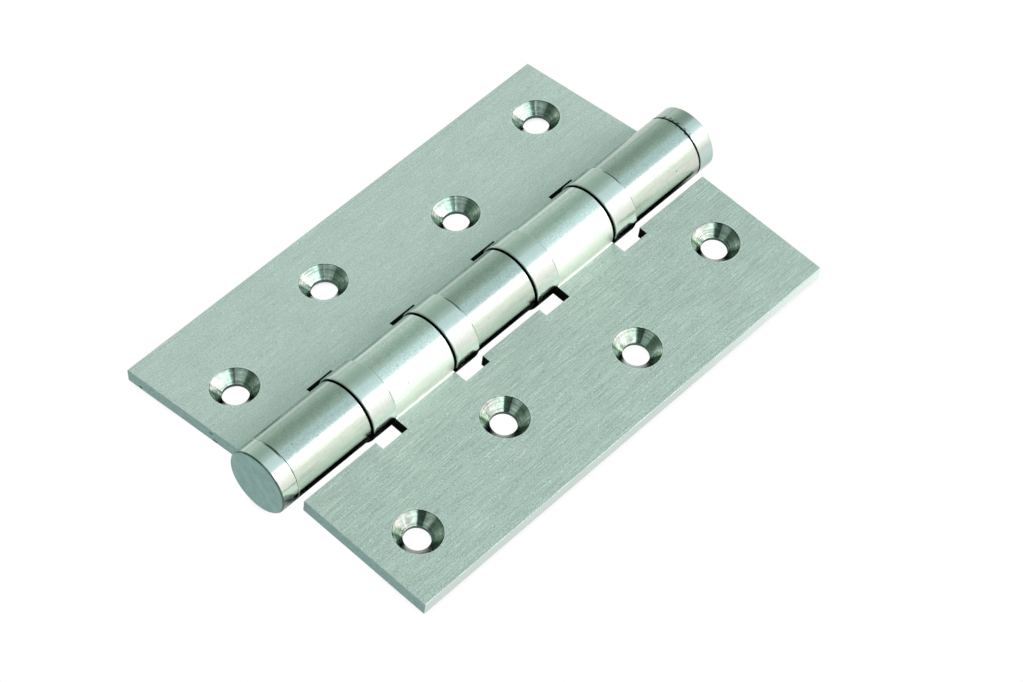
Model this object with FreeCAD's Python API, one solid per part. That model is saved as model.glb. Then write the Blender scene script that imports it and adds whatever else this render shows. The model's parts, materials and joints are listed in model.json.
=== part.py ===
import FreeCAD, Part
import math
import os

# Ball bearing butt hinge, lying open with its countersunk faces up.
# The pin runs along Y, the leaves spread along X and Z points up.
# The hinge is opened past flat, so it rests on its bearings and the outer edges of its leaves.
# All lengths are in millimetres and all angles in degrees.

# Leaves
leaf_length = 100.0
leaf_reach = 35.0
plate_thickness = 2.6
axis_height = 1.1
top_edge_round = 0.2

# Knuckles
barrel_radius = 6.25
end_knuckle = 16.9
bearing_length = 5.9
swage_radius = 3.0
seam_gap = 0.1
knuckle_edge_break = 0.1
leaf_edge_clearance = 1.15
bearing_notch_clearance = 2.5

# Screw holes
screw_hole_radius = 2.4
countersink_radius = 4.35
countersink_angle = 90.0
inner_row_distance = 18.6
outer_row_distance = 24.4
hole_end_margin = 9.35
holes_per_leaf = 4

# Pin and end caps
pin_clearance = 0.05
pin_end_play = 0.3
pin_end_break = 0.5
cap_length = 3.65
cap_edge_break = 0.25
near_cap_gap = 0.05
far_cap_gap = 0.25
spigot_length = 6.0
spigot_press_gap = 0.01
spigot_end_break = 0.4

# Thrust bearings
cup_proud = 0.35
cup_wall = 0.5
cup_lip = 0.35
cup_far_round = 0.3
ring_gap = 0.55
pin_hole_clearance = 0.15
running_gap = 0.15
seat_race_gap = 0.02
ball_clearance = 0.04
groove_depth = 0.27
balls_per_bearing = 12
cage_rim = 0.175
cage_side_gap = 0.18
pocket_clearance = 0.05

# Sizes that follow from the ones above
bore_radius = barrel_radius - plate_thickness
pin_radius = bore_radius - pin_clearance
cup_radius = barrel_radius + cup_proud
inner_edge_distance = barrel_radius + leaf_edge_clearance
bearing_notch_distance = cup_radius + bearing_notch_clearance
inner_knuckle = (leaf_length - 2 * end_knuckle - 4 * bearing_length) / 3
near_reach = near_cap_gap + cap_length
far_reach = far_cap_gap + cap_length
leaf_start = -(leaf_length + far_reach - near_reach) / 2
leaf_end = leaf_start + leaf_length
back_depth = axis_height + plate_thickness
bend_depth = axis_height + plate_thickness / 2 + swage_radius
bend_distance = math.sqrt((barrel_radius - plate_thickness / 2 + swage_radius) ** 2 - bend_depth ** 2)
roll_start = -math.atan2(bend_depth, bend_distance)
roll_end = math.asin((seam_gap - axis_height) / barrel_radius) - 2 * math.pi
droop = math.degrees(math.asin(cup_radius / math.hypot(leaf_reach, back_depth))
                     - math.atan2(back_depth, leaf_reach))
race_bore = pin_radius + pin_hole_clearance
cup_inner = cup_radius - cup_wall
lip_radius = cup_inner - cup_lip
ball_circle = (race_bore + cup_inner) / 2
ball_radius = (cup_inner - race_bore) / 2 - running_gap - cage_rim - pocket_clearance
race_space = 2 * (ball_radius - groove_depth)
cage_thickness = race_space - 2 * cage_side_gap
race_thickness = (bearing_length - cup_wall - race_space) / 2

UP = FreeCAD.Vector(0, 0, 1)
ALONG = FreeCAD.Vector(0, 1, 0)
AXIS_POINT = FreeCAD.Vector(0, 0, cup_radius)


def point(u, v, y=0.0):
    return FreeCAD.Vector(u, y, v)


def on_circle(radius, angle, centre=(0.0, 0.0)):
    return point(centre[0] + radius * math.cos(angle), centre[1] + radius * math.sin(angle))


def line(start, end):
    return Part.LineSegment(start, end).toShape()


def arc(radius, start, end, centre=(0.0, 0.0)):
    middle = on_circle(radius, (start + end) / 2, centre)
    return Part.Arc(on_circle(radius, start, centre), middle, on_circle(radius, end, centre)).toShape()


def face_of(edges):
    return Part.Face(Part.Wire(Part.__sortEdges__(edges)))


def turned(edges):
    return face_of(edges).revolve(point(0, 0), ALONG, 360)


def turned_polygon(corners):
    points = [FreeCAD.Vector(radius, y, 0) for radius, y in corners]
    return Part.Face(Part.makePolygon(points + points[:1])).revolve(point(0, 0), ALONG, 360)


def tube(outer, inner, start, length):
    cylinder = Part.makeCylinder(outer, length, point(0, 0, start), ALONG)
    return cylinder.cut(Part.makeCylinder(inner, length, point(0, 0, start), ALONG))


def knuckle_spans():
    """Start and end of each of the five knuckles, from the near end."""
    spans = []
    y = leaf_start
    for length in (end_knuckle, inner_knuckle, inner_knuckle, inner_knuckle, end_knuckle):
        spans.append((y, y + length))
        y += length + bearing_length
    return spans


def rolled_section():
    """Section across the hinge of a flat leaf whose end is swaged down and rolled round the pin."""
    bend = (bend_distance, -bend_depth)
    inside_bend = swage_radius - plate_thickness / 2
    outside_bend = swage_radius + plate_thickness / 2
    top, bottom = -axis_height, -back_depth
    return face_of([
        line(point(leaf_reach, top), point(leaf_reach, bottom)),
        line(point(leaf_reach, bottom), point(bend_distance, bottom)),
        arc(inside_bend, math.pi / 2, roll_start + math.pi, bend),
        arc(barrel_radius, roll_start, roll_end),
        line(on_circle(barrel_radius, roll_end), on_circle(bore_radius, roll_end)),
        arc(bore_radius, roll_end, roll_start),
        arc(outside_bend, roll_start + math.pi, math.pi / 2, bend),
        line(point(bend_distance, top), point(leaf_reach, top)),
    ])


def notch(start, end, distance):
    """Cutter that clears the barrel side of a leaf up to a distance from the pin axis."""
    half = barrel_radius + 1
    return Part.makeBox(half + distance, end - start, 2 * half, point(-half, -half, start))


def rim_break(end, inward):
    """Cutter for the edge break round one end of a knuckle, from the bend to the seam."""
    inner, outer = barrel_radius - knuckle_edge_break, barrel_radius + knuckle_edge_break
    deep, clear = end + inward * knuckle_edge_break, end - inward * knuckle_edge_break
    corners = [(inner, end), (barrel_radius, deep), (outer, deep), (outer, clear), (inner, clear)]
    points = [FreeCAD.Vector(radius, y, 0) for radius, y in corners]
    section = Part.Face(Part.makePolygon(points + points[:1]))
    section.rotate(point(0, 0), ALONG, -math.degrees(roll_start))
    return section.revolve(point(0, 0), ALONG, math.degrees(roll_start - roll_end))


def screw_hole(u, y):
    """Cutter for one countersunk hole, with its mouth in the top face."""
    half_angle = math.radians(countersink_angle / 2)
    depth = (countersink_radius - screw_hole_radius) / math.tan(half_angle)
    mouth = point(u, -axis_height, y)
    cone = Part.makeCone(countersink_radius, screw_hole_radius, depth, mouth, -UP)
    drill = Part.makeCylinder(screw_hole_radius, 2 * plate_thickness, mouth, -UP)
    return cone.fuse(drill)


def hole_places(first_distance, second_distance):
    """Zigzag rows of screw holes, from the near end."""
    pitch = (leaf_length - 2 * hole_end_margin) / (holes_per_leaf - 1)
    return [(second_distance if index % 2 else first_distance, leaf_start + hole_end_margin + index * pitch)
            for index in range(holes_per_leaf)]


def plate_top_edges(leaf):
    """Outer and end edges of the top face."""
    found = []
    for edge in leaf.Edges:
        box = edge.BoundBox
        in_top = abs(box.ZMin + axis_height) < 0.001 and abs(box.ZMax + axis_height) < 0.001
        outer = abs(box.XMin - leaf_reach) < 0.001
        end = box.YLength < 0.001 and (box.YMin < leaf_start + 0.001 or box.YMax > leaf_end - 0.001)
        if in_top and isinstance(edge.Curve, Part.Line) and (outer or end):
            found.append(edge)
    return found


def flat_leaf(own_knuckles, holes):
    """A leaf that reaches along +X with its top face level, its axis at the origin."""
    leaf = rolled_section().extrude(FreeCAD.Vector(0, leaf_length, 0))
    leaf.translate(FreeCAD.Vector(0, leaf_start, 0))
    spans = knuckle_spans()
    cutters = []
    for index, (start, end) in enumerate(spans):
        if index in own_knuckles:
            cutters += [rim_break(start, 1), rim_break(end, -1)]
        else:
            cutters.append(notch(start, end, inner_edge_distance))
    for (_, start), (end, _) in zip(spans[:-1], spans[1:]):
        cutters.append(notch(start, end, bearing_notch_distance))
    cutters += [screw_hole(u, y) for u, y in holes]
    for cutter in cutters:
        leaf = leaf.cut(cutter)
    leaf = leaf.removeSplitter()
    return leaf.makeFillet(top_edge_round, plate_top_edges(leaf))


def two_knuckle_leaf():
    leaf = flat_leaf((1, 3), hole_places(outer_row_distance, inner_row_distance))
    leaf.rotate(point(0, 0), ALONG, droop)
    return leaf


def three_knuckle_leaf():
    leaf = flat_leaf((0, 2, 4), hole_places(inner_row_distance, outer_row_distance))
    leaf = leaf.mirror(point(0, 0), FreeCAD.Vector(1, 0, 0))
    leaf.rotate(point(0, 0), ALONG, -droop)
    return leaf


def hinge_pin():
    """Plain rod held end to end between the spigots of the two caps."""
    start = leaf_start - near_cap_gap + spigot_length + pin_end_play
    end = leaf_end + far_cap_gap - spigot_length - pin_end_play
    return turned_polygon([(0, start), (pin_radius - pin_end_break, start), (pin_radius, start + pin_end_break),
                           (pin_radius, end - pin_end_break), (pin_radius - pin_end_break, end), (0, end)])


def end_cap(seat, outward):
    """Flat cap the size of the barrel, with a spigot pressed into the end knuckle."""
    spigot_radius = bore_radius - spigot_press_gap
    profile = [(0, -spigot_length), (spigot_radius - spigot_end_break, -spigot_length),
               (spigot_radius, spigot_end_break - spigot_length), (spigot_radius, 0),
               (barrel_radius - knuckle_edge_break, 0), (barrel_radius, knuckle_edge_break),
               (barrel_radius, cap_length - cap_edge_break), (barrel_radius - cap_edge_break, cap_length),
               (0, cap_length)]
    return turned_polygon([(radius, seat + outward * y) for radius, y in profile])


def groove(ball_plane):
    """Cutter for the ball track, a ring round the pin axis."""
    return Part.makeTorus(ball_circle, ball_radius + ball_clearance, point(0, 0, ball_plane), ALONG)


def ball_plane_of(near_face):
    return near_face + race_thickness + race_space / 2


def bearing_cup(near_face):
    """Drawn cup that holds the bearing together, its floor on the far knuckle and its lip curled in."""
    rim = near_face + ring_gap
    far = near_face + bearing_length
    curl_centre = (cup_inner, rim + cup_wall)
    round_centre = (cup_radius - cup_far_round, far - cup_far_round)

    def corner(radius, y):
        return FreeCAD.Vector(radius, y, 0)

    def quarter(centre, size, start):
        angles = [start + step * math.pi / 4 for step in range(3)]
        points = [corner(centre[0] + size * math.cos(a), centre[1] + size * math.sin(a)) for a in angles]
        return Part.Arc(*points).toShape()

    return turned([
        line(corner(lip_radius, rim), corner(cup_inner, rim)),
        quarter(curl_centre, cup_wall, -math.pi / 2),
        line(corner(cup_radius, rim + cup_wall), corner(cup_radius, far - cup_far_round)),
        quarter(round_centre, cup_far_round, 0),
        line(corner(cup_radius - cup_far_round, far), corner(race_bore, far)),
        line(corner(race_bore, far), corner(race_bore, far - cup_wall)),
        line(corner(race_bore, far - cup_wall), corner(cup_inner, far - cup_wall)),
        line(corner(cup_inner, far - cup_wall), corner(cup_inner, rim + cup_wall)),
        line(corner(cup_inner, rim + cup_wall), corner(lip_radius, rim + cup_wall)),
        line(corner(lip_radius, rim + cup_wall), corner(lip_radius, rim)),
    ])


def seat_race(near_face):
    """Race that lies on the floor of the cup."""
    far = near_face + bearing_length - cup_wall
    ring = tube(cup_inner - seat_race_gap, race_bore, far - race_thickness, race_thickness)
    return ring.cut(groove(ball_plane_of(near_face)))


def neck_race(near_face):
    """Race that bears on the near knuckle, with a shoulder trapped behind the cup's lip."""
    shoulder_start = ring_gap + cup_wall + running_gap
    neck = tube(lip_radius - running_gap, race_bore, near_face, race_thickness)
    shoulder = tube(cup_inner - running_gap, race_bore, near_face + shoulder_start,
                    race_thickness - shoulder_start)
    return neck.fuse(shoulder).removeSplitter().cut(groove(ball_plane_of(near_face)))


def ball_places(near_face):
    plane = ball_plane_of(near_face)
    return [on_circle(ball_circle, 2 * math.pi * index / balls_per_bearing) + ALONG * plane
            for index in range(balls_per_bearing)]


def ball_cage(near_face):
    """Flat ring that keeps the balls apart."""
    start = ball_plane_of(near_face) - cage_thickness / 2
    cage = tube(cup_inner - running_gap, race_bore + running_gap, start, cage_thickness)
    for place in ball_places(near_face):
        foot = FreeCAD.Vector(place.x, start, place.z)
        cage = cage.cut(Part.makeCylinder(ball_radius + pocket_clearance, cage_thickness, foot, ALONG))
    return cage


def balls(near_face):
    return Part.makeCompound([Part.makeSphere(ball_radius, place) for place in ball_places(near_face)])


def bearing_parts(number, near_face):
    return {
        f"bearing_{number}_cup": bearing_cup(near_face),
        f"bearing_{number}_seat_race": seat_race(near_face),
        f"bearing_{number}_neck_race": neck_race(near_face),
        f"bearing_{number}_ball_cage": ball_cage(near_face),
        f"bearing_{number}_balls": balls(near_face),
    }


def all_parts():
    parts = {
        "three_knuckle_leaf": three_knuckle_leaf(),
        "two_knuckle_leaf": two_knuckle_leaf(),
        "hinge_pin": hinge_pin(),
        "near_end_cap": end_cap(leaf_start - near_cap_gap, -1),
        "far_end_cap": end_cap(leaf_end + far_cap_gap, 1),
    }
    for number, (_, knuckle_end) in enumerate(knuckle_spans()[:-1], start=1):
        parts.update(bearing_parts(number, knuckle_end))
    return parts


os.makedirs("parts", exist_ok=True)
for name, shape in all_parts().items():
    shape.translate(AXIS_POINT)
    shape.exportStep(f"parts/{name}.step")
    print(name, "valid" if shape.isValid() else "NOT VALID", len(shape.Solids), "solids", round(shape.Volume, 2), "mm3")
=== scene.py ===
import bmesh
import bpy
import json
import math
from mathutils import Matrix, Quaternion, Vector


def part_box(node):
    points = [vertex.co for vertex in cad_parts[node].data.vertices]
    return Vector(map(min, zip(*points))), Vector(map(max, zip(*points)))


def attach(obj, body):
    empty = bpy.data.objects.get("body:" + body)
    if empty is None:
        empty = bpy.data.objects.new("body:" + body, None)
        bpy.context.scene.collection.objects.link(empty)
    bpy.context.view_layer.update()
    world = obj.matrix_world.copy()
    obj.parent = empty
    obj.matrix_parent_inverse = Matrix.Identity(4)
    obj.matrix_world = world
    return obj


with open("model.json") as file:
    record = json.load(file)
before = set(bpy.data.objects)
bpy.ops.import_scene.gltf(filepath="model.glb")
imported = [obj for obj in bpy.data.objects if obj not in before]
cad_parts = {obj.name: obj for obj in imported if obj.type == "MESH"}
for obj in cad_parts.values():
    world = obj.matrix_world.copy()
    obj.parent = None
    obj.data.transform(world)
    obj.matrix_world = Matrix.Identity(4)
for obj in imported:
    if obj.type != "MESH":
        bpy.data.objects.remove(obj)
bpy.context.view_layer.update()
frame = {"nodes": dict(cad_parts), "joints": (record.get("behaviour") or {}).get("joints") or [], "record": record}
scene = bpy.context.scene
scene.view_settings.view_transform = "Standard"

# Camera of the photograph in metres and degrees, from a fit to the leaf edges, screw holes and barrel
AIM = Vector((0.0095, -0.0025, 0.0066))
AZIMUTH = 40.25
ELEVATION = 50.85
DISTANCE = 0.6255
ROLL = 3.25
LENS = 129.9
SENSOR_WIDTH = 36.0
CLIP_NEAR = 0.01
CLIP_FAR = 20.0

# Places on the hinge in millimetres: those along the pin from its middle, heights from the pin axis, and
# distances outwards along a leaf from the pin axis
MM = 1000.0
AXIS_HEIGHT = frame["joints"][0]["pos_m"][2] * MM
CAP_LOW, CAP_HIGH = [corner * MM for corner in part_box("near_end_cap")]
BARREL_RADIUS = (CAP_HIGH.z - CAP_LOW.z) / 2
LEAF_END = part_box("two_knuckle_leaf")[1].y * MM
CAP_LENGTH = 3.65
FAR_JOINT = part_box("far_end_cap")[1].y * MM - CAP_LENGTH
KNUCKLE_SPANS = {"three_knuckle": ((-50.1, -33.2), (-7.2, 7.0), (33.0, 49.9)),
                 "two_knuckle": ((-27.3, -13.1), (12.9, 27.1))}
# Joints that get a line of painted shade over the top
SHADED_JOINTS = [start for start, end in KNUCKLE_SPANS["three_knuckle"]]
PLATE_TOP = -1.1
NOTCH_DEPTH = 9.1
COUNTERSINK_RADIUS = 4.35
HOLE_RADIUS = 2.4

# Seams where the rolled knuckles close on their leaves, in millimetres
SEAM_FILLET = 0.3
SEAM_SINK = 0.05
SEAM_INSET = 0.1
SEAM_STEPS = 10

# Rolled lips on the bearing cups, in millimetres
LIP_REACH = 0.22
LIP_ROUND = 0.35
LIP_DEPTH = 0.8
LIP_PROUD = 0.002
LIP_OVERLAP = 0.6
LIP_BACK_DEPTH = 0.2
LIP_MOUTH_DEPTH = 0.1
LIP_ROUND_STEPS = 6
LIP_SEGMENTS = 144
SHARP_CORNER = 40

# Light tent over the hinge, in metres, with its colours by the degrees from straight up towards the
# two-knuckle leaf. It dims to the near end level from one place along the pin to the next, and only by the
# left share of that up to the first near end angle, over the three-knuckle leaf.
TENT_RADIUS = 0.9
TENT_HALF_LENGTH = 1.6
TENT_STEPS = 96
TENT_COLOURS = [
    (-100, 0.68, 0.74, 0.72), (-84, 0.64, 0.70, 0.68), (-70, 0.56, 0.62, 0.58), (-56, 0.46, 0.54, 0.49),
    (-42, 0.42, 0.50, 0.455), (-28, 0.43, 0.51, 0.47), (-14, 0.54, 0.62, 0.59), (-6, 0.60, 0.69, 0.67),
    (-2, 0.74, 0.85, 0.88), (16, 0.79, 0.90, 0.98), (30, 0.92, 1.00, 1.08), (36, 1.5, 1.5, 1.6),
    (62, 1.5, 1.5, 1.52), (72, 1.35, 1.33, 1.35), (84, 1.15, 1.15, 1.15), (100, 1.02, 1.02, 1.0)]
NEAR_END_PLACE = (-0.46, -0.58)
NEAR_END_LEVEL = 0.5
NEAR_END_ANGLE = (4.0, 12.0)
NEAR_END_LEFT_SHARE = 0.25

# Long lamp under the tent: degrees as for the tent, metres, and radiance
SOFTBOX_FROM = 38
SOFTBOX_TO = 60
SOFTBOX_DISTANCE = 0.81
SOFTBOX_LEVEL = 2.0
SOFTBOX_START = -0.5
SOFTBOX_LENGTH = 2.4

# White floor and world. The hinge shades the floor, to the camera and in the metal: how far off it does, the
# shares of open sky at which the floor is black and white, and the powers that tint the shade green.
FLOOR_HALF = 3.0
FLOOR_GREY = (0.8, 0.8, 0.8)
WORLD_GREY = (0.62, 0.62, 0.62)
WHITE = (1.0, 1.0, 1.0)
SEEN_SHADE_REACH = 0.0015
SEEN_SKY = (0.0, 0.35)
SEEN_SAMPLES = 4
REFLECTED_SHADE_REACH = 0.012
REFLECTED_SKY = (0.27, 0.42)
REFLECTED_SAMPLES = 12
SHADE_TINT = (1.18, 1.0, 1.07)

# Linear colours of the metal
CUT_FACE = (0.24, 0.375, 0.35)
# Outer edge of a leaf, painted pale as a highlight
OUTER_EDGE = (0.70, 0.78, 0.74)
# Painted shade on the walls of the screw holes
BORE_SHADE = (0.10, 0.16, 0.14)
# Painted shade, near black, inside the notches and on the walls facing the pin
NOTCH_SHADE = (0.03, 0.05, 0.04)
# Painted light on the two-knuckle leaf's notch walls that face the pin
LIT_NOTCH_WALL = (0.60, 0.70, 0.60)
CAP_FACE = (0.17, 0.30, 0.275)
# Painted shade on the rims of the end caps
CAP_RIM_SHADE = (0.10, 0.15, 0.13)
# Painted shade on the rims of the cups
CUP_RIM_SHADE = (0.42, 0.52, 0.46)
# Painted shade, near black, in the gaps at the bearings: on the neck races and the cups' end faces
GAP_SHADE = (0.02, 0.035, 0.028)
INNER_TONE = (0.42, 0.53, 0.46)
# Near-white seam colour, a painted highlight
SEAM_HIGHLIGHT = (0.94, 0.95, 0.86)

# Colours by angle, which paint light and shade round the barrel: painted highlight bands and painted shade on
# the undersides. Each stop is the degrees round the pin from straight up towards the two-knuckle leaf, and the
# colour there
LEFT_KNUCKLE_SHADING = [
    (-62, 0.26, 0.34, 0.30), (-35, 0.41, 0.51, 0.45), (-22, 0.50, 0.62, 0.55), (-8, 0.44, 0.56, 0.48),
    (12, 0.48, 0.60, 0.53), (34, 0.49, 0.59, 0.54), (44, 0.54, 0.62, 0.55), (52, 0.56, 0.61, 0.515),
    (60, 0.60, 0.67, 0.57), (70, 0.66, 0.68, 0.61), (84, 0.56, 0.60, 0.52), (90, 0.26, 0.31, 0.26),
    (97, 0.10, 0.14, 0.11)]
RIGHT_KNUCKLE_SHADING = [
    (-62, 0.34, 0.43, 0.38), (-35, 0.54, 0.65, 0.59), (-20, 0.72, 0.86, 0.78), (0, 0.60, 0.74, 0.67),
    (14, 0.62, 0.76, 0.68), (24, 0.72, 0.84, 0.76), (50, 0.73, 0.755, 0.70), (62, 0.86, 0.91, 0.83),
    (74, 0.86, 0.90, 0.80), (100, 0.66, 0.72, 0.62)]
TURNED_UPPER = [
    (-62, 0.30, 0.38, 0.34), (-35, 0.48, 0.58, 0.52), (-22, 0.68, 0.82, 0.74), (0, 0.61, 0.75, 0.68),
    (28, 0.64, 0.75, 0.68), (36, 0.58, 0.67, 0.615), (50, 0.685, 0.715, 0.66), (62, 0.72, 0.76, 0.68),
    (70, 0.84, 0.84, 0.77)]
CUP_TONES = TURNED_UPPER + [
    (77, 0.82, 0.83, 0.76), (84, 0.98, 1.00, 0.93), (90, 0.80, 0.86, 0.78), (97, 0.24, 0.30, 0.26)]
NEAR_CAP_TONES = TURNED_UPPER + [
    (79, 0.78, 0.80, 0.73), (86, 0.36, 0.40, 0.35), (92, 0.14, 0.18, 0.15), (99, 0.16, 0.21, 0.18),
    (108, 0.45, 0.55, 0.48)]
FAR_CAP_TONES = [
    (-62, 0.28, 0.36, 0.32), (-35, 0.40, 0.48, 0.43), (-22, 0.65, 0.79, 0.71), (-14, 0.58, 0.71, 0.64),
    (-4, 0.44, 0.55, 0.50), (6, 0.41, 0.51, 0.46), (14, 0.56, 0.67, 0.60), (28, 0.68, 0.80, 0.73),
    (50, 0.685, 0.715, 0.66), (60, 0.60, 0.67, 0.61), (70, 0.57, 0.69, 0.655), (84, 0.46, 0.60, 0.56),
    (98, 0.33, 0.46, 0.41), (110, 0.42, 0.54, 0.47)]

# Painted reflections in the countersinks, as colours round each hole: degrees round a hole from its right-hand
# side towards the far end of the hinge, and the colour there
LEFT_HOLE_REFLECTIONS = [
    (-180, 0.27, 0.32, 0.28), (-168, 0.33, 0.38, 0.34), (-156, 0.42, 0.48, 0.43), (-148, 0.60, 0.66, 0.58),
    (-136, 0.84, 0.90, 0.78), (-124, 0.38, 0.48, 0.39), (-108, 0.32, 0.44, 0.33), (-94, 0.18, 0.30, 0.21),
    (-80, 0.13, 0.19, 0.15), (-60, 0.13, 0.17, 0.14), (-40, 0.12, 0.15, 0.13), (-10, 0.13, 0.20, 0.16),
    (20, 0.16, 0.25, 0.18), (34, 0.26, 0.35, 0.28), (38, 0.40, 0.52, 0.43), (60, 0.48, 0.60, 0.50),
    (64, 0.28, 0.38, 0.31), (86, 0.12, 0.18, 0.14), (100, 0.13, 0.20, 0.15), (104, 0.34, 0.43, 0.35),
    (134, 0.46, 0.58, 0.48), (137, 0.08, 0.13, 0.10), (147, 0.08, 0.13, 0.10), (150, 0.20, 0.29, 0.25),
    (180, 0.27, 0.32, 0.28)]
RIGHT_HOLE_REFLECTIONS = [
    (-180, 0.62, 0.66, 0.60), (-156, 0.72, 0.76, 0.67), (-136, 0.56, 0.60, 0.52), (-120, 0.22, 0.29, 0.23),
    (-104, 0.30, 0.41, 0.32), (-84, 0.20, 0.30, 0.23), (-64, 0.09, 0.15, 0.11), (-40, 0.04, 0.08, 0.06),
    (-24, 0.06, 0.11, 0.08), (-8, 0.15, 0.25, 0.18), (12, 0.20, 0.29, 0.22), (26, 0.26, 0.35, 0.28),
    (29, 0.48, 0.60, 0.52), (46, 0.34, 0.44, 0.38), (50, 0.20, 0.28, 0.24), (72, 0.15, 0.22, 0.17),
    (86, 0.13, 0.20, 0.15), (90, 0.36, 0.46, 0.38), (112, 0.30, 0.40, 0.31), (115, 0.04, 0.07, 0.05),
    (133, 0.05, 0.09, 0.07), (136, 0.20, 0.28, 0.23), (156, 0.37, 0.44, 0.37), (180, 0.62, 0.66, 0.60)]

# What differs between the leaves. Side is -1 left of the pin and 1 right of it. Streak is the strength of the
# brushing. Satin is the roughness added low on the knuckles, up to the angle satin_end. A nick is its place
# outwards and in height, and half its length and height.
LEAF_LOOKS = {
    "three_knuckle_leaf": {
        "material": "left_leaf_steel", "side": -1, "plate": (0.65, 0.765, 0.70), "streak": 0.15,
        "hole_reflections": LEFT_HOLE_REFLECTIONS, "knuckles": LEFT_KNUCKLE_SHADING, "satin": 0.1, "satin_end": 80.0,
        "painted_notch_wall": NOTCH_SHADE,
        "nicks": [(31.9, -3.2, 0.5, 0.3), (14.7, -2.1, 0.3, 0.28), (14.0, -3.4, 0.7, 0.3)]},
    "two_knuckle_leaf": {
        "material": "right_leaf_steel", "side": 1, "plate": (0.49, 0.60, 0.53), "streak": 0.31,
        "hole_reflections": RIGHT_HOLE_REFLECTIONS, "knuckles": RIGHT_KNUCKLE_SHADING, "satin": 0.3, "satin_end": 110.0,
        "painted_notch_wall": LIT_NOTCH_WALL,
        "nicks": []}}

# Finish of the steel: roughness of a leaf's parts, depth in metres and strength of the bump, and how far
# brushing along the pin spreads the leaves' reflections, turned a quarter from the brushing to lie across it
KNUCKLE_ROUGHNESS = 0.12
PLATE_ROUGHNESS = 0.48
CONE_ROUGHNESS = 0.16
BUMP_DEPTH = 0.000004
BUMP_STRENGTH = 0.5
BRUSHED_SPREAD = 0.8
QUARTER_TURN = 0.25

# How far a normal turns to a direction, as limits of a smooth step: to the ends of the pin on an end face and
# on a rim, outwards on the outer edge of a leaf, and inwards on a wall that faces the pin
END_FACE_TILT = (0.75, 0.97)
RIM_TILT = (0.35, 0.6)
OUTER_EDGE_TILT = (0.75, 0.95)
PIN_WALL_TILT = (-0.75, -0.95)


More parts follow.
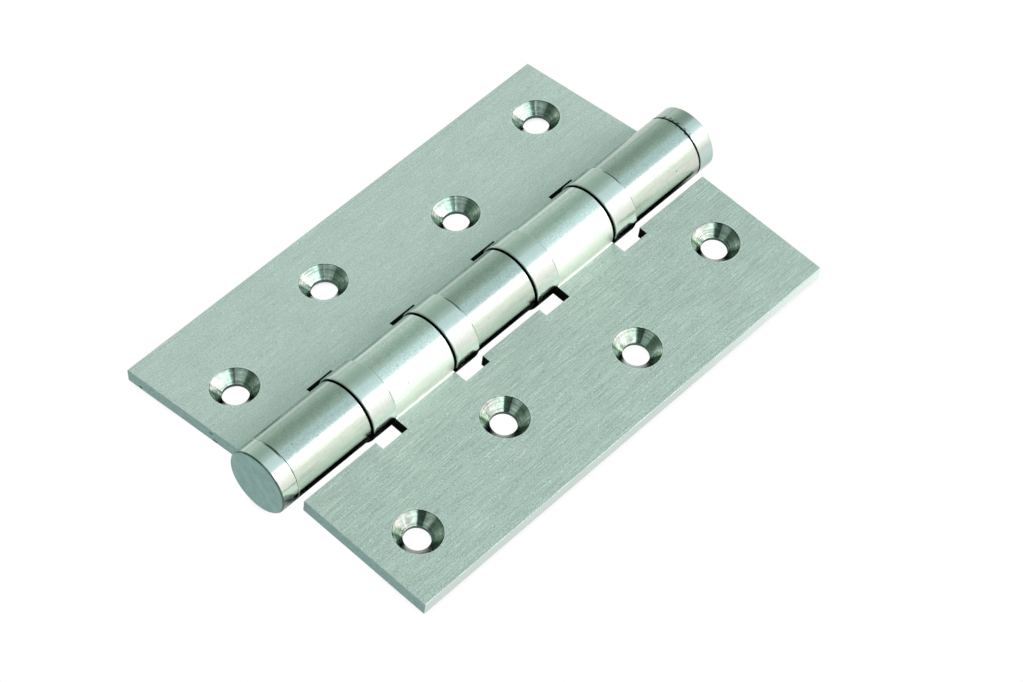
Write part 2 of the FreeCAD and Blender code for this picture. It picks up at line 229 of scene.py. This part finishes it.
class Nodes:
    """Short way to write a node tree. A value is a number, a colour, a vector or another node's output."""

    def __init__(self, tree):
        self.tree = tree
        self.tree.nodes.clear()

    def add(self, kind, inputs=None, **settings):
        node = self.tree.nodes.new(kind)
        for name, value in settings.items():
            setattr(node, name, value)
        for name, value in (inputs or {}).items():
            socket = node.inputs[name]
            if isinstance(value, bpy.types.NodeSocket):
                self.tree.links.new(value, socket)
            elif socket.type == "RGBA":
                socket.default_value = (*value, 1.0)
            else:
                socket.default_value = value
        return node

    def math(self, operation, *values):
        return self.add("ShaderNodeMath", dict(enumerate(values)), operation=operation).outputs[0]

    def chain(self, operation, *values):
        """One operation over all the values in turn."""
        result = values[0]
        for value in values[1:]:
            result = self.math(operation, result, value)
        return result

    def total(self, *values):
        return self.chain("ADD", *values)

    def product(self, *values):
        return self.chain("MULTIPLY", *values)

    def without(self, share):
        """What a share leaves of 1."""
        return self.math("SUBTRACT", 1.0, share)

    def absolute(self, value):
        return self.math("ABSOLUTE", value)

    def step(self, value, low, high):
        """0 below low, 1 above high and smooth between; low may be the larger, which turns it round."""
        return self.add("ShaderNodeMapRange", {"Value": value, "From Min": low, "From Max": high},
                        interpolation_type="SMOOTHSTEP").outputs[0]

    def near(self, value, centre, inner, outer):
        """1 within inner of centre, 0 beyond outer and smooth between."""
        return self.step(self.absolute(self.math("SUBTRACT", value, centre)), outer, inner)

    def between(self, value, start, full, still_full, end):
        """0 below start and above end, 1 from full to still_full and smooth between."""
        return self.product(self.step(value, start, full), self.step(value, end, still_full))

    def degrees(self, one, other):
        """Angle whose tangent is one over other."""
        return self.math("DEGREES", self.math("ARCTAN2", one, other))

    def combine(self, x, y, z):
        return self.add("ShaderNodeCombineXYZ", {0: x, 1: y, 2: z}).outputs[0]

    def separate(self, vector):
        return self.add("ShaderNodeSeparateXYZ", {0: vector}).outputs[:3]

    def vector(self, operation, *values):
        node = self.add("ShaderNodeVectorMath", dict(enumerate(values)), operation=operation)
        return node.outputs["Value" if operation in ("DOT_PRODUCT", "LENGTH") else "Vector"]

    def scaled(self, vector, factor):
        """Vector or colour times a number."""
        return self.add("ShaderNodeVectorMath", {0: vector, "Scale": factor}, operation="SCALE").outputs[0]

    def noise(self, place, scale, detail=2.0, roughness=0.5):
        """Noise from 0 to 1. Scale is how many of its features fit in a unit of place."""
        return self.add("ShaderNodeTexNoise", {"Vector": place, "Scale": scale, "Detail": detail,
                                               "Roughness": roughness}).outputs[0]

    def streaks(self, place, width, length, detail=2.0):
        """Noise drawn out along the pin."""
        drawn_out = self.vector("MULTIPLY", place, (1 / width, 1 / length, 1 / width))
        return self.noise(drawn_out, 1.0, detail, 0.6)

    def vary(self, noise, by):
        """Noise from 0 to 1 as a factor that goes that far to either side of 1."""
        return self.math("MULTIPLY_ADD", noise, 2 * by, 1.0 - by)

    def mix(self, factor, one, other):
        """Colour that is one at factor 0 and the other at 1."""
        return self.add("ShaderNodeMix", {0: factor, 6: one, 7: other}, data_type="RGBA").outputs[2]

    def mix_numbers(self, factor, one, other):
        return self.add("ShaderNodeMix", {0: factor, 2: one, 3: other}, data_type="FLOAT").outputs[0]

    def mix_shaders(self, factor, one, other):
        return self.add("ShaderNodeMixShader", {0: factor, 1: one, 2: other}).outputs[0]

    def ramp(self, value, stops):
        """Colour that follows a number. A stop is the number and the red, green and blue there."""
        low, high = stops[0][0], stops[-1][0]
        share = self.add("ShaderNodeMapRange", {"Value": value, "From Min": low, "From Max": high}).outputs[0]
        ramp = self.add("ShaderNodeValToRGB", {"Fac": share})
        elements = ramp.color_ramp.elements
        while len(elements) < len(stops):
            elements.new(1.0)
        for element, (number, *colour) in zip(elements, stops):
            element.position = (number - low) / (high - low)
            element.color = (*colour, 1.0)
        return ramp.outputs[0]


def new_material(name):
    """A material and its node tree."""
    material = bpy.data.materials.new(name)
    material.use_nodes = True
    return material, Nodes(material.node_tree)


def direction(angle):
    """Unit vector at an angle from straight up towards the two-knuckle leaf."""
    return Vector((math.sin(math.radians(angle)), 0, math.cos(math.radians(angle))))


def make_camera():
    azimuth, elevation = math.radians(AZIMUTH), math.radians(ELEVATION)
    back = Vector((math.sin(azimuth) * math.cos(elevation), -math.cos(azimuth) * math.cos(elevation),
                   math.sin(elevation)))
    data = bpy.data.cameras.new("photo_camera")
    data.lens = LENS
    data.sensor_width = SENSOR_WIDTH
    data.clip_start = CLIP_NEAR
    data.clip_end = CLIP_FAR
    camera = bpy.data.objects.new("photo_camera", data)
    camera.location = AIM + back * DISTANCE
    camera.rotation_mode = "QUATERNION"
    upright = (-back).to_track_quat("-Z", "Y")
    camera.rotation_quaternion = Quaternion(back, math.radians(ROLL)) @ upright
    scene.collection.objects.link(camera)
    scene.camera = camera


def background_rays(n):
    """1 for the rays that see the white background: from the camera, off metal and through glass."""
    path = n.add("ShaderNodeLightPath").outputs
    return n.chain("MAXIMUM", path["Is Camera Ray"], path["Is Glossy Ray"], path["Is Transmission Ray"])


def make_world():
    world = bpy.data.worlds.new("studio")
    world.use_nodes = True
    scene.world = world
    n = Nodes(world.node_tree)
    soft = n.add("ShaderNodeBackground", {"Color": WORLD_GREY, "Strength": 1.0}).outputs[0]
    white = n.add("ShaderNodeBackground", {"Color": WHITE, "Strength": 1.0}).outputs[0]
    n.add("ShaderNodeOutputWorld", {"Surface": n.mix_shaders(background_rays(n), soft, white)})


def stage_object(name, vertices, faces, material):
    mesh = bpy.data.meshes.new(name)
    mesh.from_pydata(vertices, [], faces)
    mesh.materials.append(material)
    thing = bpy.data.objects.new(name, mesh)
    scene.collection.objects.link(thing)
    return thing


def open_sky(n, reach, samples):
    """Share of the sky that nothing within reach hides."""
    return n.add("ShaderNodeAmbientOcclusion", {"Distance": reach}, samples=samples).outputs["AO"]


def make_floor():
    """White floor that goes dark where the hinge shades it, and can't be seen from below."""
    material, n = new_material("white_floor")
    camera = n.add("ShaderNodeLightPath").outputs["Is Camera Ray"]
    seen = n.step(open_sky(n, SEEN_SHADE_REACH, SEEN_SAMPLES), *SEEN_SKY)
    reflected = n.step(open_sky(n, REFLECTED_SHADE_REACH, REFLECTED_SAMPLES), *REFLECTED_SKY)
    lit = n.mix_numbers(camera, reflected, seen)
    tinted = n.combine(*[n.math("POWER", lit, power) for power in SHADE_TINT])
    diffuse = n.add("ShaderNodeBsdfDiffuse", {"Color": FLOOR_GREY}).outputs[0]
    glow = n.add("ShaderNodeEmission", {"Color": tinted, "Strength": 1.0}).outputs[0]
    clear = n.add("ShaderNodeBsdfTransparent").outputs[0]
    below = n.add("ShaderNodeNewGeometry").outputs["Backfacing"]
    above = n.mix_shaders(background_rays(n), diffuse, glow)
    n.add("ShaderNodeOutputMaterial", {"Surface": n.mix_shaders(below, above, clear)})
    corners = [(-FLOOR_HALF, -FLOOR_HALF, 0), (FLOOR_HALF, -FLOOR_HALF, 0), (FLOOR_HALF, FLOOR_HALF, 0),
               (-FLOOR_HALF, FLOOR_HALF, 0)]
    stage_object("floor", corners, [(0, 1, 2, 3)], material)


def tent_material():
    """Glow of the tent: its colour round the pin, and dimmer at its near end."""
    material, n = new_material("tent_cloth")
    x, y, z = n.separate(n.add("ShaderNodeTexCoord").outputs["Object"])
    angle = n.degrees(x, z)
    brightest = max(max(colour) for degrees, *colour in TENT_COLOURS)
    shares = [(degrees, *[value / brightest for value in colour]) for degrees, *colour in TENT_COLOURS]
    right = n.step(angle, *NEAR_END_ANGLE)
    dimmed = n.product(n.step(y, *NEAR_END_PLACE),
                       n.total(NEAR_END_LEFT_SHARE, n.product(1.0 - NEAR_END_LEFT_SHARE, right)))
    strength = n.total(brightest, n.product(dimmed, (NEAR_END_LEVEL - 1.0) * brightest))
    glow = n.add("ShaderNodeEmission", {"Color": n.ramp(angle, shares), "Strength": strength})
    n.add("ShaderNodeOutputMaterial", {"Surface": glow.outputs[0]})
    material.cycles.emission_sampling = "NONE"
    return material


def make_tent():
    """Long soft tent over the hinge, grey overhead and lighter down its sides."""
    low, high = TENT_COLOURS[0][0], TENT_COLOURS[-1][0]
    vertices, faces = [], []
    for index in range(TENT_STEPS + 1):
        edge = direction(low + (high - low) * index / TENT_STEPS) * TENT_RADIUS
        vertices += [(edge.x, -TENT_HALF_LENGTH, edge.z), (edge.x, TENT_HALF_LENGTH, edge.z)]
        if index:
            base = 2 * index
            faces.append((base - 2, base - 1, base + 1, base))
    tent = stage_object("light_tent", vertices, faces, tent_material())
    tent.visible_camera = False
    tent.visible_shadow = False


def make_softbox():
    """Long lamp along the pin, low on the side of the two-knuckle leaf."""
    towards = direction((SOFTBOX_FROM + SOFTBOX_TO) / 2)
    data = bpy.data.lights.new("softbox", "AREA")
    data.shape = "RECTANGLE"
    data.size = SOFTBOX_LENGTH
    data.size_y = 2 * SOFTBOX_DISTANCE * math.tan(math.radians(SOFTBOX_TO - SOFTBOX_FROM) / 2)
    data.energy = SOFTBOX_LEVEL * math.pi * data.size * data.size_y
    lamp = bpy.data.objects.new("softbox", data)
    lamp.location = towards * SOFTBOX_DISTANCE + Vector((0, SOFTBOX_START + SOFTBOX_LENGTH / 2, 0))
    lamp.rotation_mode = "QUATERNION"
    lamp.rotation_quaternion = (-towards).to_track_quat("-Z", "Y")
    lamp.visible_camera = False
    scene.collection.objects.link(lamp)


def screw_holes(leaf):
    """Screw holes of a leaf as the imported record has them."""
    return [mount for mount in frame["record"]["mounts"] if mount["name"].startswith(leaf + "_screw_hole")]


def leaf_directions(leaf):
    """Unit vectors up out of a leaf's countersunk face, and outwards along it from the pin."""
    side = LEAF_LOOKS[leaf]["side"]
    up = Vector(screw_holes(leaf)[0]["axis"])
    if up.z < 0:
        up = -up
    return up, Vector((side * up.z, 0, -side * up.x))


class Place:
    """Where a point of the hinge lies, in millimetres and degrees round the pin, and its normal there."""

    def __init__(self, n):
        coordinates = n.add("ShaderNodeTexCoord").outputs
        self.point = n.vector("SUBTRACT", n.scaled(coordinates["Object"], MM), (0.0, 0.0, AXIS_HEIGHT))
        self.x, self.y, self.z = n.separate(self.point)
        self.angle = n.degrees(self.x, self.z)
        self.distance = n.math("SQRT", n.total(n.product(self.x, self.x), n.product(self.z, self.z)))
        self.normal = coordinates["Normal"]
        self.tilt = n.absolute(n.separate(self.normal)[1])
        self.end_face = n.step(self.tilt, *END_FACE_TILT)


class LeafPlace(Place):
    """The same for a leaf, with its own directions, its nearest screw hole, two areas and shared noise."""

    def __init__(self, n, leaf):
        super().__init__(n)
        up, out = leaf_directions(leaf)
        self.out = n.vector("DOT_PRODUCT", self.point, tuple(out))
        self.up = n.vector("DOT_PRODUCT", self.point, tuple(up))
        self.facing_out = n.vector("DOT_PRODUCT", self.normal, tuple(out))
        self.facing_up = n.vector("DOT_PRODUCT", self.normal, tuple(up))
        self.find_hole(n, leaf, out)
        self.plate = n.step(self.distance, BARREL_RADIUS + 0.1, BARREL_RADIUS + 0.5)
        self.cone = n.product(n.step(self.from_hole, COUNTERSINK_RADIUS + 0.3, COUNTERSINK_RADIUS + 0.1),
                              n.between(self.facing_up, 0.3, 0.5, 0.9, 0.97))
        self.fine = n.streaks(self.point, width=0.08, length=5.0, detail=0.0)
        self.wide = n.streaks(self.point, width=0.35, length=9.0, detail=0.0)
        self.grain = n.noise(self.point, scale=7.0, detail=0.0)
        self.specks = n.noise(self.point, scale=3.0, detail=1.0, roughness=0.75)

    def find_hole(self, n, leaf, out):
        """Distance and angle from the nearest screw hole, and a vector round it that no other hole has."""
        apart = 5.0
        margin = 1.0
        distances, headings = [], []
        for number, hole in enumerate(screw_holes(leaf)):
            centre = Vector(hole["pos_m"]) * MM - Vector((0, 0, AXIS_HEIGHT))
            away = n.combine(n.math("SUBTRACT", self.out, centre.dot(out)),
                             n.math("SUBTRACT", self.y, centre.y), 0.0)
            distance = n.vector("LENGTH", away)
            heading = n.vector("ADD", n.vector("NORMALIZE", away), (0.0, 0.0, apart * number))
            distances.append(distance)
            headings.append(n.scaled(heading, n.math("LESS_THAN", distance, COUNTERSINK_RADIUS + margin)))
        self.from_hole = n.chain("MINIMUM", *distances)
        self.round_hole = headings[0]
        for heading in headings[1:]:
            self.round_hole = n.vector("ADD", self.round_hole, heading)
        across, along, _ = n.separate(self.round_hole)
        self.hole_angle = n.degrees(along, n.product(across, LEAF_LOOKS[leaf]["side"]))


def joint_burr(n, at):
    """Dark burred specks where the far cap meets its knuckle, as a factor."""
    flecks = n.noise(n.vector("MULTIPLY", at.point, (1.0, 1.6, 1.0)), scale=1.5, roughness=0.7)
    beside = n.near(at.y, FAR_JOINT, inner=0.15, outer=0.9)
    over = n.near(at.angle, 0.0, inner=25.0, outer=42.0)
    return n.without(n.product(0.9, beside, over, n.step(flecks, 0.5, 0.58)))


def joint_shade_line(n, at):
    """Painted shade in a line over the top where the near cap and two of the cups meet the knuckle behind, as a
    factor.
    """
    factor = 1.0
    to_line = 0.2
    over = n.near(at.angle, 3.0, inner=10.0, outer=24.0)
    for joint in SHADED_JOINTS:
        beside = n.near(at.y, joint - to_line, inner=0.15, outer=0.3)
        factor = n.product(factor, n.without(n.product(0.85, beside, over)))
    return factor


def finish_steel(n, colour, rough, height, spread=0.0):
    """The shader of all steel. Spread is how far brushing along the pin spreads reflections across it."""
    bump = n.add("ShaderNodeBump", {"Height": height, "Distance": BUMP_DEPTH, "Strength": BUMP_STRENGTH})
    inputs = {"Base Color": colour, "Metallic": 1.0, "Roughness": rough, "Normal": bump.outputs[0]}
    if spread:
        inputs["Anisotropic"] = spread
        inputs["Anisotropic Rotation"] = QUARTER_TURN
        inputs["Tangent"] = n.combine(0.0, 1.0, 0.0)
    shader = n.add("ShaderNodeBsdfPrincipled", inputs)
    n.add("ShaderNodeOutputMaterial", {"Surface": shader.outputs[0]})


def brushed_plate(n, at, look):
    """Face of a leaf brushed along the pin, with scratches, a painted highlight of paler specks round the holes,
    and an outer edge painted pale as a highlight, brighter towards the far end.
    """
    streak = look["streak"]
    cloud = n.noise(at.point, scale=0.22, detail=3.0)
    shade = n.product(n.vary(at.fine, by=streak), n.vary(at.wide, by=streak * 0.1),
                      n.vary(at.grain, by=0.25 + streak * 0.8), n.vary(cloud, by=0.04))
    scratches = n.step(n.streaks(at.point, width=0.1, length=7.0, detail=0.0), 0.66, 0.78)
    # Painted highlight: a paler ring round each countersink
    mouth = n.product(n.step(at.from_hole, COUNTERSINK_RADIUS + 0.35, COUNTERSINK_RADIUS + 0.15), at.grain,
                      n.step(at.facing_up, 0.5, 0.9))
    pale = n.total(n.product(scratches, streak * 0.5), n.product(mouth, 0.12))
    face = n.scaled(look["plate"], n.total(shade, pale))
    # Painted light on the outer edge, brighter towards the far end
    brighter_far = n.total(0.8, n.product(0.28, n.step(at.y, 5.0, 60.0)))
    edge = n.scaled(OUTER_EDGE, n.product(n.vary(at.fine, by=0.06), brighter_far))
    return n.mix(n.product(n.step(at.facing_out, *OUTER_EDGE_TILT), at.plate), face, edge)


def bored_cone(n, at, look):
    """Colour of the countersinks, with painted reflections round each hole and a dark mouth line, and the height
    of their tool marks.
    """
    rings_per_mm = 4.0
    ring_height = 4.0
    chatter_height = 22.0
    round_bore = n.combine(n.product(at.from_hole, rings_per_mm), n.product(at.y, 0.12), 0.0)
    rings = n.noise(round_bore, scale=1.0, detail=3.0, roughness=0.7)
    depth = n.combine(0.0, 0.0, n.product(at.from_hole, 0.35))
    chatter = n.noise(n.vector("ADD", at.round_hole, depth), scale=2.6, roughness=0.6)
    scuffs = n.noise(at.point, scale=2.2, detail=3.0, roughness=0.7)
    mouth_line = n.step(at.from_hole, COUNTERSINK_RADIUS - 0.2, COUNTERSINK_RADIUS - 0.05)
    shade = n.product(n.vary(rings, by=1.2), n.vary(chatter, by=0.7), n.vary(scuffs, by=0.4),
                      n.without(n.product(mouth_line, 0.55)))
    marks = n.total(n.product(rings, at.cone, ring_height), n.product(chatter, at.cone, chatter_height))
    return n.scaled(n.ramp(at.hole_angle, look["hole_reflections"]), shade), marks


def rolled_knuckle(n, at, look):
    """Colour of the knuckles: painted light and shade by angle, speckled on the upper side, drawn along the pin on
    the lower, with pits.
    """
    upper_side = n.step(at.angle, 58.0, 34.0)
    flecks = n.product(n.math("SUBTRACT", at.specks, 0.5), n.total(0.1, n.product(0.38, upper_side)))
    drawn = n.math("SUBTRACT", n.streaks(at.point, width=0.15, length=8.0), 0.5)
    lines = n.product(drawn, n.without(upper_side), 0.3)
    cloud = n.vary(n.noise(at.point, scale=0.9, detail=3.0, roughness=0.6), by=0.08)
    bands = n.vary(n.streaks(at.point, width=0.3, length=5.0), by=0.08)
    pits = n.product(n.step(n.noise(at.point, scale=2.0, detail=0.0), 0.85, 0.89), 0.7)
    shade = n.product(cloud, n.total(1.0, flecks, lines), bands, n.without(pits), joint_burr(n, at))
    return n.scaled(n.ramp(at.angle, look["knuckles"]), shade)


def cut_ends(n, at, look):
    """Colour of the faces across the pin: dull, nicked at the near end, and painted shade inside the notches."""
    mottle = n.vary(n.noise(at.point, scale=1.4), by=0.12)
    colour = n.scaled(CUT_FACE, n.product(n.vary(at.specks, by=0.35), mottle))
    near_end = n.step(at.y, 0.0, -1.0)
    for out, up, half_length, half_height in look["nicks"]:
        from_nick = n.vector("LENGTH", n.combine(n.product(n.math("SUBTRACT", at.out, out), 1 / half_length),
                                                 n.product(n.math("SUBTRACT", at.up, up), 1 / half_height),
                                                 0.0))
        nick = n.step(n.product(from_nick, n.vary(at.specks, by=0.8)), 1.1, 0.6)
        colour = n.scaled(colour, n.without(n.product(nick, near_end, 0.8)))
    # Painted shade on the faces inside the notches
    inside = n.product(at.plate, n.step(n.absolute(at.y), LEAF_END - 0.3, LEAF_END - 1.0),
                       n.step(at.out, NOTCH_DEPTH + 0.4, NOTCH_DEPTH + 0.2))
    return n.mix(inside, colour, NOTCH_SHADE)


def leaf_material(leaf):
    """Brushed plate, bored countersinks with painted reflections, knuckles with painted light and shade by angle
    and a satin lower side, and dull cut faces, with painted shade and painted light on the walls facing the pin.
    """
    look = LEAF_LOOKS[leaf]
    material, n = new_material(look["material"])
    at = LeafPlace(n, leaf)
    cone_colour, marks = bored_cone(n, at, look)
    colour = n.mix(at.plate, rolled_knuckle(n, at, look), brushed_plate(n, at, look))
    colour = n.mix(n.product(at.cone, n.without(at.end_face)), colour, cone_colour)

    # Walls facing the pin get painted shade near the barrel; the notch walls beyond get painted shade on the
    # three-knuckle leaf and painted light on the two-knuckle leaf
    facing_pin = n.product(at.plate, n.step(at.facing_out, *PIN_WALL_TILT), n.step(at.facing_up, 0.4, 0.2))
    deep = n.step(at.out, NOTCH_DEPTH - 0.9, NOTCH_DEPTH - 0.4)
    cut = n.mix(facing_pin, cut_ends(n, at, look), n.mix(deep, NOTCH_SHADE, look["painted_notch_wall"]))
    cut_area = n.math("MAXIMUM", facing_pin, n.product(at.end_face, n.without(at.cone)))
    # Painted shade down the walls of the screw holes
    bore_wall = n.product(n.step(at.from_hole, HOLE_RADIUS + 0.1, HOLE_RADIUS + 0.03),
                          n.step(at.facing_up, 0.5, 0.3))
    colour = n.mix(bore_wall, n.mix(cut_area, colour, cut), BORE_SHADE)

    satin = n.between(at.angle, 20.0, 62.0, look["satin_end"], look["satin_end"] + 14.0)
    knuckle = n.total(KNUCKLE_ROUGHNESS, n.product(satin, look["satin"]))
    rough = n.mix_numbers(at.cone, n.mix_numbers(at.plate, knuckle, PLATE_ROUGHNESS), CONE_ROUGHNESS)
    rough = n.product(rough, n.vary(at.wide, by=0.12), n.vary(at.grain, by=0.1))
    height = n.total(n.product(at.fine, at.plate), n.product(at.grain, 0.6), marks)
    finish_steel(n, colour, rough, height, BRUSHED_SPREAD)
    return material


def turned_material(name, tones, end_tone, rim_tone, roughness, satin=0.0):
    """Turned and polished steel with painted light and shade by angle round the pin: fine rings round the pin,
    speckle, mottled end faces, and rims in the rim tone, which on the cups and caps is painted shade.
    """
    material, n = new_material(name)
    at = Place(n)
    rings = n.noise(n.combine(at.y, at.distance, 0.0), scale=4.0, roughness=0.6)
    grain = n.noise(at.point, scale=5.0, roughness=0.7)
    cloud = n.noise(at.point, scale=0.5, detail=3.0)
    shade = n.product(n.vary(rings, by=0.04), n.vary(grain, by=0.13), n.vary(cloud, by=0.08),
                      joint_burr(n, at), joint_shade_line(n, at))
    side = n.scaled(n.ramp(at.angle, tones), shade)
    rim = n.scaled(rim_tone, n.vary(grain, by=0.3))
    end = n.scaled(end_tone, n.product(n.vary(grain, by=0.5), n.vary(cloud, by=0.35)))
    colour = n.mix(at.end_face, n.mix(n.step(at.tilt, *RIM_TILT), side, rim), end)
    low_side = n.between(at.angle, 45.0, 66.0, 80.0, 94.0)
    rough = n.product(n.total(roughness, n.product(low_side, satin)), n.vary(grain, by=0.15),
                      n.vary(cloud, by=0.15))
    finish_steel(n, colour, rough, n.total(rings, n.product(grain, 0.5)))
    return material


def even(tone):
    """The same tone all the way round."""
    return [(-180, *tone), (180, *tone)]


def add_piece(name, profiles, closed, material, body):
    """A piece of the hinge: a skin over profiles in millimetres, smooth but for its sharp corners.

    All profiles have as many points. Closed joins the last to the first, and otherwise both are filled.
    """
    count = len(profiles[0])
    vertices = [point / MM for profile in profiles for point in profile]
    faces = []
    for index in range(len(profiles) if closed else len(profiles) - 1):
        here, there = index * count, (index + 1) % len(profiles) * count
        for corner in range(count):
            after = (corner + 1) % count
            faces.append((here + corner, here + after, there + after, there + corner))
    if not closed:
        last = len(vertices) - 1
        faces += [tuple(range(count)), tuple(range(last, last - count, -1))]
    mesh = bpy.data.meshes.new(name)
    mesh.from_pydata(vertices, [], faces)
    mesh.materials.append(material)
    bm = bmesh.new()
    bm.from_mesh(mesh)
    bmesh.ops.recalc_face_normals(bm, faces=bm.faces)
    bm.to_mesh(mesh)
    bm.free()
    mesh.shade_smooth()
    mesh.set_sharp_from_angle(angle=math.radians(SHARP_CORNER))
    piece = bpy.data.objects.new(name, mesh)
    scene.collection.objects.link(piece)
    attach(piece, body)


def make_seam(name, leaf, start, end, material):
    """Rounded line where the tail of a rolled knuckle closes on its leaf, coloured near white as a painted
    highlight.
    """
    up, out = leaf_directions(leaf)
    reach = BARREL_RADIUS + SEAM_FILLET
    rise = PLATE_TOP + SEAM_FILLET
    across = math.sqrt(reach * reach - rise * rise)
    on_plate = -math.pi / 2
    on_barrel = math.atan2(-rise, -across) - 2 * math.pi
    turns = [on_plate + (on_barrel - on_plate) * index / SEAM_STEPS for index in range(SEAM_STEPS + 1)]
    outline = [(across + SEAM_FILLET * math.cos(turn), rise + SEAM_FILLET * math.sin(turn)) for turn in turns]
    sunk = PLATE_TOP - SEAM_SINK
    outline += [(outline[-1][0] - SEAM_SINK, sunk), (outline[0][0], sunk)]
    profiles = [[out * away + up * height + Vector((0, along, AXIS_HEIGHT)) for away, height in outline]
                for along in (start, end)]
    add_piece(name, profiles, False, material, leaf.replace("_leaf", "_side"))


def make_lip(cup, body, material):
    """Rolled lip that closes the bearing's cup towards its near knuckle."""
    low, high = [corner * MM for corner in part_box(cup)]
    radius = (high.x - low.x) / 2
    outer = radius + LIP_PROUD
    inner = radius - LIP_DEPTH
    front = low.y - LIP_REACH
    back = low.y + LIP_OVERLAP
    turns = [math.pi / 2 * index / LIP_ROUND_STEPS for index in range(LIP_ROUND_STEPS + 1)]
    outline = [(outer, back)]
    outline += [(outer - LIP_ROUND * (1 - math.cos(turn)), front + LIP_ROUND * (1 - math.sin(turn)))
                for turn in turns]
    outline += [(inner, front), (inner, low.y + LIP_MOUTH_DEPTH), (radius - LIP_BACK_DEPTH, back)]
    headings = [direction(360 * index / LIP_SEGMENTS) for index in range(LIP_SEGMENTS)]
    profiles = [[heading * away + Vector((0, along, AXIS_HEIGHT)) for away, along in outline]
                for heading in headings]
    add_piece(cup.replace("cup", "lip"), profiles, True, material, body)


make_camera()
make_world()
make_floor()
make_tent()
make_softbox()

# Steel of each node by the end of its name; what no other fits is an inner piece
# The cups' end faces and the neck races get painted shade
cup_steel = turned_material("cup_steel", CUP_TONES, GAP_SHADE, CUP_RIM_SHADE, roughness=0.16, satin=0.08)
steels = {
    "three_knuckle_leaf": leaf_material("three_knuckle_leaf"),
    "two_knuckle_leaf": leaf_material("two_knuckle_leaf"),
    "cup": cup_steel,
    "near_end_cap": turned_material("near_cap_steel", NEAR_CAP_TONES, CAP_FACE, CAP_RIM_SHADE, roughness=0.12,
                                    satin=0.06),
    "far_end_cap": turned_material("far_cap_steel", FAR_CAP_TONES, CAP_FACE, CAP_RIM_SHADE, roughness=0.12),
    "neck_race": turned_material("neck_steel", even(GAP_SHADE), GAP_SHADE, GAP_SHADE, roughness=0.4),
    "": turned_material("inner_steel", even(INNER_TONE), INNER_TONE, INNER_TONE, roughness=0.2)}
for name, node in frame["nodes"].items():
    material = next(steel for ending, steel in steels.items() if name.endswith(ending))
    node.data.materials.clear()
    node.data.materials.append(material)

seam_steel = turned_material("seam_steel", even(SEAM_HIGHLIGHT), CUT_FACE, SEAM_HIGHLIGHT, roughness=0.16)
for hand, spans in KNUCKLE_SPANS.items():
    for number, (start, end) in enumerate(spans, 1):
        make_seam(f"{hand}_seam_{number}", hand + "_leaf", start + SEAM_INSET, end - SEAM_INSET, seam_steel)

for number in (1, 2, 3, 4):
    make_lip(f"bearing_{number}_cup", "two_knuckle_side" if number % 2 else "three_knuckle_side", cup_steel)
